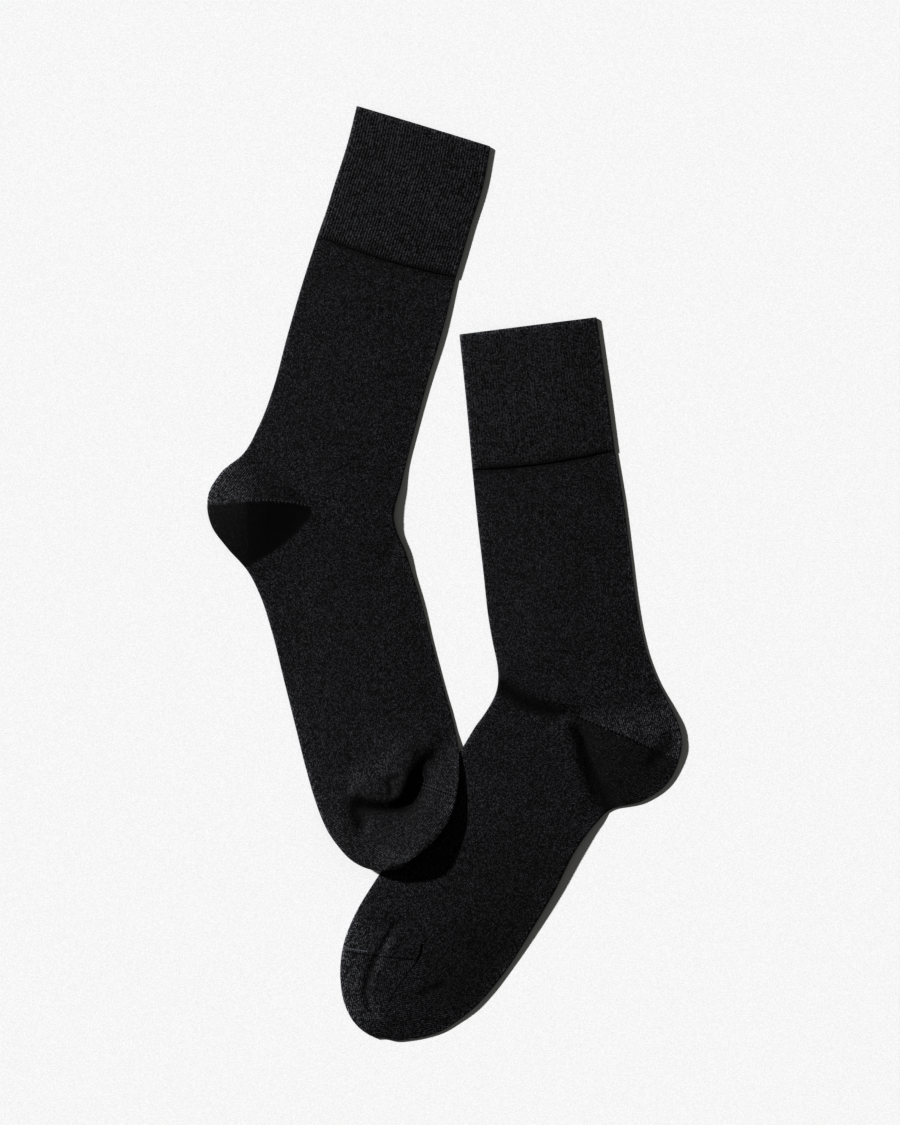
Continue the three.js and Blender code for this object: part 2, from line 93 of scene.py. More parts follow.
# back is the calf, heel or sole edge, front the shin or instep edge,
# and rises are the heights of the cloth at the back edge, the middle and the front edge
OVER_TUBE = (
    Section("seam", (-74.6, 195.5), (5.5, 171.5), (1.5, 2.3, 1.5)),
    Section("calf", (-84.3, 165.0), (-2.5, 139.5), (1.5, 2.6, 2.1)),
    Section("mid leg", (-92.6, 136.0), (-11.0, 110.5), (1.5, 2.6, 1.7)),
    Section("low leg", (-100.4, 107.0), (-18.5, 82.5), (1.5, 2.8, 1.5)),
    Section("ankle top", (-109.0, 84.5), (-23.8, 61.5), (1.6, 3.1, 1.6)),
    Section("heel top", (-118.2, 68.5), (-26.7, 49.0), (1.8, 3.4, 2.8)),
    Section("upper heel", (-130.6, 58.0), (-28.7, 42.5), (2.2, 3.7, 3.5)),
    Section("heel", (-137.6, 46.5), (-29.9, 37.5), (2.5, 4.0, 4.0)),
    Section("heel tip", (-138.6, 38.0), (-30.4, 33.0), (2.6, 4.0, 4.3)),
    Section("under heel", (-136.3, 27.5), (-29.7, 27.5), (2.4, 3.8, 4.3)),
    Section("lower heel", (-127.6, 15.0), (-27.3, 20.5), (2.1, 3.5, 4.0)),
    Section("heel end", (-115.8, 1.7), (-23.7, 12.5), (1.8, 3.1, 3.1)),
    Section("arch", (-108.2, -12.8), (-20.0, 0.5), (1.6, 2.8, 2.1)),
    Section("mid foot", (-101.4, -33.5), (-14.8, -16.2), (1.5, 2.7, 1.8)),
    Section("fore foot", (-94.4, -61.5), (-8.7, -40.0), (1.5, 2.7, 1.2)),
    Section("ball", (-87.5, -89.3), (-1.4, -67.3), (1.6, 2.8, 1.1)),
    Section("toe start", (-81.4, -113.7), (4.6, -89.5), (1.8, 3.0, 1.2)),
    Section("toe", (-76.4, -131.0), (7.3, -105.0), (2.1, 3.2, 1.3)),
    Section("toe side", (-72.5, -141.5), (7.5, -116.6), (2.5, 3.2, 1.5)),
    Section("toe curve", (-68.3, -150.2), (6.4, -127.6), (2.9, 3.2, 1.8)),
    Section("toe curve", (-62.4, -158.4), (4.1, -138.0), (3.4, 3.3, 2.1)),
    Section("toe curve", (-56.3, -165.0), (-0.3, -146.7), (3.9, 3.6, 2.6)),
    Section("toe curve", (-49.5, -169.4), (-6.4, -154.3), (4.2, 4.0, 3.4)),
    Section("toe end", (-43.3, -171.5), (-13.3, -160.7), (4.3, 4.4, 4.6)),
    Section("toe end", (-36.5, -172.0), (-20.5, -166.0), (4.0, 4.4, 5.0)),
    Section("tip", (-30.5, -171.6), (-25.9, -170.2), (1.8, 1.8, 1.8)),
)
UNDER_TUBE = (
    Section("seam", (97.5, 71.5), (15.0, 60.0), (1.5, 2.3, 1.5)),
    Section("calf", (102.7, 41.0), (18.0, 30.0), (1.4, 2.6, 1.5)),
    Section("mid leg", (106.7, 10.0), (21.5, -0.5), (1.3, 2.6, 1.5)),
    Section("ankle top", (110.4, -18.5), (24.4, -26.5), (1.3, 2.8, 1.6)),
    Section("heel top", (113.6, -36.0), (27.0, -41.2), (1.3, 3.0, 1.7)),
    Section("upper heel", (117.3, -49.5), (29.0, -50.5), (1.3, 3.2, 1.8)),
    Section("upper heel", (122.5, -63.0), (29.9, -57.0), (1.6, 3.5, 1.9)),
    Section("heel", (129.3, -76.5), (30.0, -62.0), (2.5, 3.9, 1.9)),
    Section("heel", (134.8, -88.5), (29.6, -66.0), (2.8, 3.9, 1.9)),
    Section("heel tip", (136.5, -99.0), (28.6, -70.0), (2.5, 3.9, 1.9)),
    Section("under heel", (134.2, -110.5), (26.8, -74.0), (1.7, 3.7, 1.8)),
    Section("lower heel", (128.2, -122.0), (24.3, -78.5), (1.3, 3.4, 1.7)),
    Section("lower heel", (114.5, -132.0), (21.0, -83.5), (1.1, 3.0, 1.6)),
    Section("heel end", (96.0, -137.0), (16.6, -89.5), (1.2, 2.8, 1.6)),
    Section("arch", (87.0, -145.0), (9.3, -101.5), (2.4, 2.7, 1.5)),
    Section("mid foot", (74.8, -161.2), (-1.2, -118.3), (3.7, 2.8, 1.5)),
    Section("fore foot", (63.2, -183.9), (-13.9, -137.5), (3.1, 2.7, 1.5)),
    Section("fore foot", (49.9, -206.5), (-27.8, -158.9), (2.5, 2.7, 1.5)),
    Section("ball", (36.5, -228.0), (-42.4, -180.3), (1.7, 2.9, 1.6)),
    Section("toe start", (24.4, -243.6), (-53.6, -199.3), (1.8, 3.2, 1.8)),
    Section("toe", (15.1, -253.2), (-59.2, -213.6), (1.8, 3.4, 2.0)),
    Section("toe side", (5.8, -260.4), (-61.4, -226.2), (1.4, 3.4, 2.2)),
    Section("toe curve", (-2.8, -265.8), (-61.4, -237.4), (1.2, 3.3, 2.3)),
    Section("toe curve", (-12.8, -269.1), (-59.6, -248.2), (1.1, 3.1, 2.2)),
    Section("toe curve", (-21.5, -270.7), (-56.8, -255.4), (1.1, 2.8, 2.0)),
    Section("toe end", (-29.6, -271.3), (-53.0, -261.3), (1.1, 2.4, 1.8)),
    Section("toe end", (-36.0, -269.9), (-48.5, -265.6), (1.1, 2.0, 1.6)),
    Section("tip", (-41.1, -269.5), (-44.7, -268.0), (1.2, 1.2, 1.2)),
)

# Where the over sock climbs from the floor onto the under sock
CROSSING_POINT = (9.3, -101.5)
INTO_UNDER_SOCK = (0.84, -0.542)
CROSSING_RISE = 3.25
CROSSING_REACH = 12.0    # the climb starts this far before the edge of the under sock and ends as far past it
TOE_CURL = 5.5          # the free end of the toe curls up by this much
TOE_CURL_START = -120.0
TOE_CURL_REACH = 48.0

# Folds of the upper panels: soft ridges (positive) and troughs (negative) along a path.
# The two spreads are how far each one reaches to the left and to the right of its path.
OVER_FOLDS = (
    Fold("toe trough", -2.4, 6.5, 5.0,
         ((-5.0, -106.0), (-11.0, -112.5), (-14.5, -118.5), (-15.8, -125.0), (-18.0, -131.0), (-24.0, -136.0),
          (-33.0, -137.2), (-43.0, -136.2), (-51.0, -135.5))),
    Fold("foot roll above the trough", 4.0, 4.4, 13.0,
         ((-21.0, -112.5), (-23.2, -118.5), (-24.8, -123.8), (-27.8, -128.6), (-34.0, -131.2),
          (-44.5, -130.6), (-57.0, -127.5))),
    Fold("upper end of the roll", 1.0, 4.6, 13.0, ((-4.0, -90.0), (-13.0, -102.0), (-18.5, -109.0), (-22.0, -117.0))),
    Fold("left end of the trough", -1.8, 4.0, 4.5, ((-48.0, -129.0), (-50.5, -134.0), (-50.0, -142.0), (-47.0, -151.0))),
    Fold("hook in the roll", -1.3, 1.7, 1.7, ((-25.5, -117.2), (-33.6, -120.0), (-31.8, -125.0), (-32.4, -130.0))),
    Fold("toe lip", 0.8, 2.4, 3.8,
         ((6.4, -114.0), (5.4, -127.0), (2.8, -136.5), (-1.4, -144.5), (-7.5, -152.0), (-14.0, -158.0),
          (-22.0, -163.5), (-32.0, -167.5), (-42.0, -167.5), (-50.0, -164.5), (-57.0, -158.0))),
    Fold("shin side dip", -0.5, 4.0, 4.0, ((-28.0, 31.0), (-30.0, 19.5), (-33.5, 5.0))),
)
UNDER_FOLDS = (
    Fold("ankle crease", -2.1, 4.2, 3.2,
         ((27.5, -62.5), (34.8, -67.4), (39.4, -71.0), (44.0, -74.4), (53.4, -79.0), (65.0, -82.4), (75.0, -83.0))),
    Fold("ankle roll", 1.3, 9.0, 4.0,
         ((30.0, -55.0), (38.0, -62.0), (46.0, -67.0), (55.0, -71.5), (65.0, -75.0), (76.0, -76.0))),
    Fold("heel and foot crease", -2.0, 5.4, 3.8,
         ((75.5, -82.5), (78.9, -94.0), (82.4, -107.9), (86.8, -121.8), (89.7, -128.8), (94.5, -138.0))),
    Fold("foot roll beside the heel", 0.9, 3.4, 7.0,
         ((68.0, -84.0), (72.0, -97.0), (75.5, -110.0), (79.0, -123.0), (84.0, -135.0))),
    Fold("heel dent", -0.9, 4.4, 4.4, ((117.5, -111.5), (124.5, -105.0), (129.0, -98.5), (132.0, -90.5))),
    Fold("toe crease", -0.85, 2.4, 1.9,
         ((-27.0, -199.5), (-30.7, -206.5), (-37.1, -216.9), (-41.8, -225.6), (-45.8, -234.9), (-47.3, -244.2),
          (-44.1, -252.9), (-38.5, -258.0))),
    Fold("toe crease roll", 0.3, 2.2, 2.6,
         ((-28.0, -211.0), (-33.6, -219.5), (-38.0, -227.5), (-41.6, -236.5), (-43.0, -244.0), (-40.0, -251.0))),
    Fold("toe dent", -0.6, 2.6, 2.8, ((-16.0, -244.6), (-8.0, -241.4), (0.0, -238.2))),
)

# Painted shade (negative) and painted light (positive) in the knit's colour, as folds of tone: the creases, troughs,
# hook and the line under the cuff are painted shade and shadow, and the lighter rolls, lips and sides are painted
# light. The broad leg and sole ones only set the tone of a whole area.
OVER_PAINTED_SHADE_AND_LIGHT = (
    Fold("under the cuff", -0.8, 2.1, 2.1, ((-76.0, 196.0), (-55.1, 187.8), (-35.2, 181.3), (-15.0, 175.9), (7.0, 171.0))),
    Fold("trough", -0.6, 4.6, 4.4, ((-8.0, -102.5), (-12.0, -107.0), (-18.2, -114.6), (-20.0, -121.0), (-21.0, -127.0))),
    Fold("trough floor", -0.93, 6.6, 6.0,
         ((-15.5, -110.0), (-18.8, -118.5), (-19.4, -126.5), (-22.5, -133.5), (-31.0, -137.0))),
    Fold("left toe fold", -0.7, 5.0, 3.2,
         ((-22.0, -134.0), (-35.0, -136.6), (-44.0, -135.2), (-52.0, -132.0))),
    Fold("left end of the fold", -0.76, 5.4, 4.8, ((-51.5, -129.5), (-51.5, -138.0), (-48.5, -147.0))),
    Fold("toe bowl", -0.22, 20.0, 20.0, ((-4.0, -138.0), (-12.0, -146.0), (-24.0, -154.0), (-34.0, -157.0))),
    Fold("hook line", -0.95, 1.5, 1.5, ((-25.5, -117.4), (-33.6, -120.0), (-31.8, -125.0), (-32.4, -130.0))),
    Fold("roll above the trough", 0.3, 5.0, 12.0, ((-24.0, -94.0), (-34.0, -106.0), (-42.0, -118.0), (-58.0, -122.0))),
    Fold("toe lip", 0.3, 3.0, 4.0,
         ((6.4, -122.0), (2.8, -136.5), (-7.5, -152.0), (-22.0, -163.5), (-42.0, -168.5), (-57.0, -160.0))),
    Fold("ball of the foot", 0.18, 9.0, 9.0, ((-88.0, -75.0), (-82.0, -100.0), (-76.0, -125.0), (-68.0, -148.0))),
)
UNDER_PAINTED_SHADE_AND_LIGHT = (
    Fold("under the cuff", -0.8, 2.1, 2.1, ((99.0, 71.8), (77.1, 66.9), (56.5, 63.5), (35.8, 61.2), (13.0, 59.8))),
    Fold("ankle crease", -0.86, 6.0, 4.4, ((27.5, -62.5), (34.8, -67.4), (44.0, -74.4), (53.4, -79.0), (70.0, -83.0))),
    Fold("heel and foot crease", -0.74, 6.6, 5.0,
         ((76.0, -82.0), (82.4, -107.9), (87.4, -121.8), (93.0, -134.0), (101.0, -150.0))),
    Fold("lower half of the heel crease", -0.45, 4.2, 3.6, ((82.0, -110.0), (86.4, -119.0), (91.0, -131.0), (97.0, -145.0))),
    Fold("heel dent", -0.7, 4.6, 4.6, ((115.5, -112.5), (122.0, -107.0), (127.0, -101.5), (130.0, -95.5))),
    Fold("toe dent", -0.6, 3.0, 3.0, ((-16.0, -244.6), (-8.0, -241.2), (0.0, -238.0))),
    Fold("toe crease", -0.72, 2.8, 2.0, ((-40.5, -224.0), (-45.8, -234.9), (-47.3, -244.2), (-44.1, -252.9))),
    Fold("toe crease light", 0.5, 2.4, 2.4, ((-32.0, -216.0), (-36.5, -223.0), (-39.5, -231.0))),
    Fold("hook of the toe crease", 0.5, 1.6, 1.6, ((-44.0, -246.0), (-42.0, -251.0), (-38.5, -256.5))),
    Fold("little toe side", 1.15, 13.0, 15.0, ((-52.0, -198.0), (-58.0, -222.0), (-57.0, -245.0), (-44.0, -262.0))),
    Fold("leg", -0.1, 50.0, 50.0, ((54.0, 90.0), (62.0, 20.0), (66.0, -20.0), (68.0, -70.0))),
    Fold("sole", -0.34, 26.0, 26.0, ((60.0, -150.0), (40.0, -185.0), (16.0, -222.0), (-8.0, -248.0))),
)

# Lines in plan where the knitting changes. Each pouch starts at the gore point on the side of the foot.
OVER_HEEL_TOP = ((-78.3, 37.8), (-91.5, 52.5), (-106.0, 61.5), (-118.0, 68.0), (-136.0, 78.0))
OVER_HEEL_SOLE = ((-78.3, 37.8), (-77.0, 33.6), (-81.0, 28.0), (-88.9, 19.8), (-100.3, 11.3), (-115.0, 2.7), (-128.0, -9.0))
OVER_HEEL_GORE = ((-78.3, 37.8), (-88.0, 40.0), (-103.0, 41.2), (-116.0, 41.0), (-142.0, 39.0))
OVER_HEEL_FAR = ((-160.0, -9.0), (-160.0, 78.0))
UNDER_HEEL_TOP = ((73.5, -83.0), (100.0, -75.5), (127.0, -70.0), (140.0, -65.5))
UNDER_HEEL_SOLE = ((73.5, -83.0), (84.0, -106.0), (88.5, -122.0), (95.0, -137.5), (98.0, -152.0))
UNDER_HEEL_GORE = ((73.5, -83.0), (89.5, -89.0), (104.0, -95.0), (118.5, -102.0), (141.0, -111.5))
UNDER_HEEL_FAR = ((160.0, -152.0), (160.0, -65.5))
OVER_LINKING = ((-31.3, -123.5), (-13.3, -123.8), (-3.5, -127.0), (6.4, -129.3), (30.0, -135.0))
OVER_TOE_SOLE = ((-31.3, -123.5), (-67.3, -146.5), (-82.0, -155.0))
OVER_TOE_GORE = ((-31.3, -123.5), (-27.5, -145.0), (-23.0, -185.0))
OVER_TOE_FAR = ((-82.0, -185.0), (30.0, -185.0))
UNDER_LINKING = ((-16.2, -224.0), (-39.5, -222.5), (-60.5, -218.0), (-80.0, -213.5))
UNDER_TOE_SOLE = ((-16.2, -224.0), (5.8, -261.6), (20.0, -285.0))
UNDER_TOE_GORE = ((-16.2, -224.0), (-26.7, -237.0), (-39.5, -257.0), (-52.0, -277.0))
UNDER_TOE_FAR = ((20.0, -285.0), (-80.0, -285.0))

# Rows of single stitches. Offset is to the left of the path, slant is in degrees from the path, and tone is how light
# the yarn is beside the knit: the rows well below 1 (holes along a gore, grooves, the crease at the linking's end) are
# painted shade, and the rows above 1 are painted highlight on loops that catch the lamp.
StitchRow = namedtuple("StitchRow", "name path pitch offset length width height slant tone")
OVER_HEEL_SEWING = (
    StitchRow("gore loops", ((-78.6, 38.4), (-88.0, 40.7), (-103.0, 41.9), (-114.0, 41.8)),
              2.2, 0.0, 1.25, 0.95, 0.2, 70, 3.4),
    StitchRow("gore holes", ((-77.4, 37.6), (-87.0, 40.1), (-102.0, 41.5), (-113.0, 41.5)),
              2.2, 0.0, 1.25, 0.8, 0.12, 70, 0.1),
)
UNDER_HEEL_SEWING = (
    StitchRow("gore holes", ((75.5, -83.2), (89.5, -89.0), (104.0, -95.0), (120.0, -102.6)),
              2.3, 0.0, 1.6, 1.35, 0.14, 60, 0.03),
    StitchRow("gore loops", ((76.7, -83.2), (90.7, -89.0), (105.2, -95.0), (119.0, -101.7)),
              2.3, 0.0, 1.1, 0.8, 0.16, 60, 1.9),
)
OVER_TOE_SEWING = (
    StitchRow("chain, upper side", ((-16.5, -121.3), (-8.0, -124.0), (5.0, -128.2)), 1.45, 0.0, 1.4, 0.85, 0.3, 25, 3.0),
    StitchRow("chain, lower side", ((-15.5, -123.8), (-7.2, -126.4), (4.6, -130.6)), 1.45, 0.0, 1.4, 0.8, 0.3, -25, 2.6),
    StitchRow("chain holes", ((-15.0, -122.6), (-7.6, -125.2), (4.8, -129.4)), 1.45, 0.0, 1.1, 0.9, 0.1, 0, 0.1),
    StitchRow("gore stitches", ((-28.0, -142.0), (-24.6, -151.5)), 2.2, 0.0, 1.5, 0.9, 0.12, 0, 0.08),
)
UNDER_TOE_SEWING = (
    StitchRow("linking, light edge", ((-61.0, -217.4), (-46.0, -219.4)), 1.3, 0.0, 1.5, 1.1, 0.24, 6, 6.0),
    StitchRow("linking, fading edge", ((-46.0, -219.4), (-32.0, -221.3), (-17.0, -222.5)), 1.5, 0.0, 1.3, 0.7, 0.14, 6, 1.5),
    StitchRow("linking groove", ((-58.0, -219.5), (-39.5, -222.1), (-17.5, -224.2)), 1.0, 0.0, 1.2, 0.8, 0.1, 0, 0.08),
    # The short dark row at the linking's end is painted shade of a small crease.
    StitchRow("thread end", ((-14.2, -214.8), (-15.2, -220.0), (-17.2, -225.2)), 1.0, 0.0, 1.5, 1.7, 0.14, 0, 0.03),
    StitchRow("gore groove", ((-16.4, -224.4), (-21.5, -230.5), (-26.7, -237.5), (-34.0, -249.0)),
              1.0, 0.0, 1.2, 0.75, 0.08, 0, 0.08),
)

# The heel pouch stands up along its gore: height of the ridge from the gore point to the back of the heel
OVER_HEEL_RIDGE = (0.2, 1.9, 4.2, 5.2, 0.4)
UNDER_HEEL_RIDGE = (0.2, 0.9, 1.3, 1.2, 0.3)

# Tone of the two halves of a heel pouch, beside the gore point and at the back, and how softly it sets in. The darker
# sole half is painted shade where it turns from the lamp; the top half takes a tone of its own.
HeelTone = namedtuple("HeelTone", "top_front top_back sole_front sole_back top_blend sole_blend")
OVER_HEEL_SHADE_AND_TONE = HeelTone(0.70, 1.85, 0.0, 0.28, 2.5, 1.2)
UNDER_HEEL_SHADE_AND_TONE = HeelTone(1.85, 2.0, 0.55, 0.58, 14.0, 4.0)


def smooth_step(t):
    t = min(max(t, 0.0), 1.0)
    return t * t * (3 - 2 * t)


def mix(a, b, t):
    return a + (b - a) * t


def nearest_on_path(path, x, y):
    """Distance to a path, how far along it the nearest place is (0 to 1), and the side: 1 is left."""
    best = (1e9, 0.0, 1.0)
    for i in range(len(path) - 1):
        ax, ay = path[i]
        dx, dy = path[i + 1][0] - ax, path[i + 1][1] - ay
        t = min(max(((x - ax) * dx + (y - ay) * dy) / (dx * dx + dy * dy), 0.0), 1.0)
        distance = math.hypot(x - ax - t * dx, y - ay - t * dy)
        if distance < best[0]:
            side = 1.0 if dx * (y - ay) - dy * (x - ax) > 0 else -1.0
            best = (distance, (i + t) / (len(path) - 1), side)
    return best


def inside(outline, x, y):
    """True where a plan outline holds the point."""
    within = False
    for i in range(len(outline)):
        ax, ay = outline[i - 1]
        bx, by = outline[i]
        if (ay > y) != (by > y) and x < ax + (bx - ax) * (y - ay) / (by - ay):
            within = not within
    return within


def over_floor(x, y):
    """Height of what the over sock lies on: the floor, then the under sock's foot."""
    past = (x - CROSSING_POINT[0]) * INTO_UNDER_SOCK[0] + (y - CROSSING_POINT[1]) * INTO_UNDER_SOCK[1]
    climb = CROSSING_RISE * smooth_step((past + CROSSING_REACH) / (2 * CROSSING_REACH))
    return climb + TOE_CURL * smooth_step((TOE_CURL_START - y) / TOE_CURL_REACH)


def level_floor(x, y):
    return 0.0


def fold_height(folds, x, y):
    """Sum of the folds at a place. Each one fades out at both ends of its path."""
    height = 0.0
    for fold in folds:
        distance, along, side = nearest_on_path(fold.path, x, y)
        spread = fold.left_spread if side > 0 else fold.right_spread
        if distance < 3 * spread:
            fade = smooth_step(min(along, 1 - along) * 5 + 0.3)
            height += fold.rise * fade * math.exp(-((distance / spread) ** 2))
    return height


def heel_ridge_height(sock, x, y):
    """The heel pouch as a low tent: highest on its gore and down to the leg and the foot at its two edges."""
    if not inside(sock.heel_outline, x, y):
        return 0.0
    to_gore, along, _ = nearest_on_path(sock.heel_gore, x, y)
    to_edge = min(nearest_on_path(sock.heel_top, x, y)[0], nearest_on_path(sock.heel_sole, x, y)[0])
    place = along * (len(sock.heel_ridge) - 1)
    step = min(int(place), len(sock.heel_ridge) - 2)
    ridge = mix(sock.heel_ridge[step], sock.heel_ridge[step + 1], place - step)
    return ridge * to_edge / max(to_edge + to_gore, 0.01)


def heel_tone(sock, x, y):
    """The short rows of the heel lie across those of the leg. The sole half of the pouch is darkened as painted shade
    where it turns away from the lamp, and the top half takes a tone of its own.
    """
    if not inside(sock.heel_outline, x, y):
        return 1.0
    _, along, side = nearest_on_path(sock.heel_gore, x, y)
    tone = sock.heel_tone
    on_sole = (side > 0) == (sock.heel_gore[-1][0] < 0)
    back = smooth_step((along - 0.5) / 0.45)
    if on_sole:
        near_edge = smooth_step(nearest_on_path(sock.heel_sole, x, y)[0] / tone.sole_blend)
        return mix(1.0, mix(tone.sole_front, tone.sole_back, back), near_edge)
    near_edge = smooth_step(nearest_on_path(sock.heel_top, x, y)[0] / tone.top_blend)
    return mix(1.0, mix(tone.top_front, tone.top_back, back), near_edge)


# Painted shade and light of the cloth: the heel pouch's tone times each fold of painted shade and light.
def cloth_painted_shade_and_light(sock, x, y, with_heel):
    tone = heel_tone(sock, x, y) if with_heel else 1.0
    for shade in sock.shades:
        distance, along, side = nearest_on_path(shade.path, x, y)
        spread = shade.left_spread if side > 0 else shade.right_spread
        if distance < 3 * spread:
            fade = smooth_step(min(along, 1 - along) * 5 + 0.3)
            tone *= 1 + shade.rise * fade * math.exp(-((distance / spread) ** 2))
    return tone


def cloth_unevenness(x, y, seed):
    """Cloth never lies quite flat: slow waves of about a tenth of a millimetre."""
    slow = noise.noise(Vector((x / 34.0, y / 34.0, seed)))
    quick = noise.noise(Vector((x / 11.0, y / 11.0, seed + 7.0)))
    return 0.22 * slow + 0.06 * quick


def panel_rise(rises, t):
    """Height across a panel: one parabola through the back, middle and front rises."""
    back, middle, front = rises
    return back * (1 - t) * (1 - 2 * t) + middle * 4 * t * (1 - t) + front * t * (2 * t - 1)


def even_rows(sections, step):
    """Smooth rows between the sections, about one step apart. Each is (back, front, rises, along, toward)."""
    values = [(*s.back, *s.front, *s.rises) for s in sections]
    gaps = []
    for a, b in zip(values, values[1:]):
        gaps.append(0.5 * (math.dist(a[:2], b[:2]) + math.dist(a[2:4], b[2:4])))
    slopes = []
    for i in range(len(values)):
        if i == 0:
            slopes.append([(b - a) / gaps[0] for a, b in zip(values[0], values[1])])
        elif i == len(values) - 1:
            slopes.append([(b - a) / gaps[-1] for a, b in zip(values[-2], values[-1])])
        else:
            before, after = gaps[i - 1], gaps[i]
            slopes.append([
                ((c - b) / after * before + (b - a) / before * after) / (before + after)
                for a, b, c in zip(values[i - 1], values[i], values[i + 1])
            ])
    rows = []
    along = 0.0
    for i, gap in enumerate(gaps):
        longest = max(math.dist(values[i][:2], values[i + 1][:2]), math.dist(values[i][2:4], values[i + 1][2:4]))
        count = max(1, math.ceil(longest / step))
        for k in range(count + (i == len(gaps) - 1)):
            t = k / count
            row = []
            for a, b, sa, sb in zip(values[i], values[i + 1], slopes[i], slopes[i + 1]):
                row.append(
                    a * (1 + 2 * t) * (1 - t) ** 2 + b * t * t * (3 - 2 * t)
                    + sa * gap * t * (1 - t) ** 2 - sb * gap * t * t * (1 - t)
                )
            rows.append((row, along + gap * t))
        along += gap
    return rows


class Row:
    """One section of a flattened tube, ready to be placed in space."""

    def __init__(self, values, along, toward):
        self.back = Vector(values[0:2])
        self.front = Vector(values[2:4])
        self.rises = values[4:7]
        self.along = along
        self.toward = toward
        self.width = (self.front - self.back).length
        self.across = (self.front - self.back) / self.width

    def slid(self, distance):
        """The same section, moved towards the toe."""
        values = (*(self.back + self.toward * distance), *(self.front + self.toward * distance), *self.rises)
        return Row(values, self.along + distance, self.toward)


def make_rows(sections, step):
    plain = even_rows(sections, step)
    middles = [Vector(((v[0] + v[2]) / 2, (v[1] + v[3]) / 2)) for v, _ in plain]
    rows = []
    for i, (values, along) in enumerate(plain):
        toward = middles[min(i + 1, len(middles) - 1)] - middles[max(i - 1, 0)]
        rows.append(Row(values, along, toward.normalized()))
    return rows


def row_points(sock, row, look, end_distance, inset=0.0, lift=0.0, bow=0.0):
    """The ring of points of one row, in millimetres: up the back edge, over the top, down the front, back below.
    The second list is how far each one is from the nearest edge of the flattened tube."""
    back_radius = row.rises[0] / 2
    front_radius = row.rises[2] / 2
    start, end = back_radius, row.width - front_radius
    profile = []
    for i in range(EDGE_STEPS):
        angle = math.pi * (i / EDGE_STEPS - 0.5)
        radius = back_radius - inset
        high = 0.5 + 0.5 * math.sin(angle)
        profile.append((start - radius * math.cos(angle), back_radius + radius * math.sin(angle), high))
    for i in range(look["panel_steps"] + 1):
        t = i / look["panel_steps"]
        height = panel_rise(row.rises, t) - inset
        if look["ribs"] and inset < CUFF_WALL / 2:
            wave = math.sin(math.pi * t * RIBS_ACROSS) ** 2
            height += RIB_RISE * smooth_step(end_distance / RIB_START) * (wave ** 0.8 - 0.5)
        profile.append((mix(start, end, t), height, 1.0))
    for i in range(1, EDGE_STEPS + 1):
        angle = math.pi * (0.5 - i / EDGE_STEPS)
        radius = front_radius - inset
        high = 0.5 + 0.5 * math.sin(angle)
        profile.append((end + radius * math.cos(angle), front_radius + radius * math.sin(angle), high))
    for i in range(1, look["under_steps"]):
        profile.append((mix(end, start, i / look["under_steps"]), inset, 0.0))
    least = 2 * look["wall"] + PANEL_GAP
    points = []
    edge_distances = []
    for across, height, high in profile:
        t = across / row.width
        plan = row.back + row.across * across + row.toward * (bow * 4 * t * (1 - t))
        x, y = plan
        if high > 0:
            room = min(1.0, min(across, row.width - across) / 6.0)
            extra = fold_height(look["folds"], x, y) + room * cloth_unevenness(x, y, sock.seed)
            if look["pouches"]:
                extra += heel_ridge_height(sock, x, y)
            raised = height + inset + extra * high
            if high == 1.0:
                raised = max(raised, least)
            height = raised - inset
        points.append((x, y, height + lift + sock.floor(x, y)))
        edge_distances.append(min(across, row.width - across, end_distance))
    return points, edge_distances


def place_ring(ring, points):
    for vert, point in zip(ring, points):
        vert.co = Vector(point) * MM


def extrude_ring(mesh, ring):
    """Extrudes a closed ring of edges and returns the new ring in the same order."""
    around = set(ring)
    edges = []
    for i, vert in enumerate(ring):
        after = ring[(i + 1) % len(ring)]
        edges.append(next(e for e in vert.link_edges if e.other_vert(vert) is after))
    made = bmesh.ops.extrude_edge_only(mesh, edges=edges)["geom"]
    new = {g for g in made if isinstance(g, bmesh.types.BMVert)} - around
    ordered = []
    for vert in ring:
        ordered.append(next(e.other_vert(vert) for e in vert.link_edges if e.other_vert(vert) in new))
    return ordered


def knit_rings(rings, arounds, alongs, close_far_end):
    """A tube of rings, each extruded from the last. Vertex layers keep the place round and along the knitting."""
    mesh = bmesh.new()
    around_layer = mesh.verts.layers.float.new("around")
    along_layer = mesh.verts.layers.float.new("along")
    edge_layer = mesh.verts.layers.float.new("edge distance")
    ring = bmesh.ops.create_circle(mesh, segments=len(arounds), radius=0.05)["verts"]
    for r, (points, edge_distances) in enumerate(rings):
        if r > 0:
            ring = extrude_ring(mesh, ring)
        place_ring(ring, points)
        for vert, around, edge_distance in zip(ring, arounds, edge_distances):
            vert[around_layer] = around * MM
            vert[along_layer] = alongs[r] * MM
            vert[edge_layer] = max(edge_distance, 0.0)
    if close_far_end:
        ring = extrude_ring(mesh, ring)
        middle = sum((v.co for v in ring), Vector()) / len(ring)
        bmesh.ops.pointmerge(mesh, verts=ring, merge_co=middle)
    return mesh


def lengths_round(points):
    """Distance of each point of a ring from the first one, going round, and the whole way round."""
    lengths = [0.0]
    for a, b in zip(points, points[1:]):
        lengths.append(lengths[-1] + math.dist(a, b))
    return lengths, lengths[-1] + math.dist(points[-1], points[0])


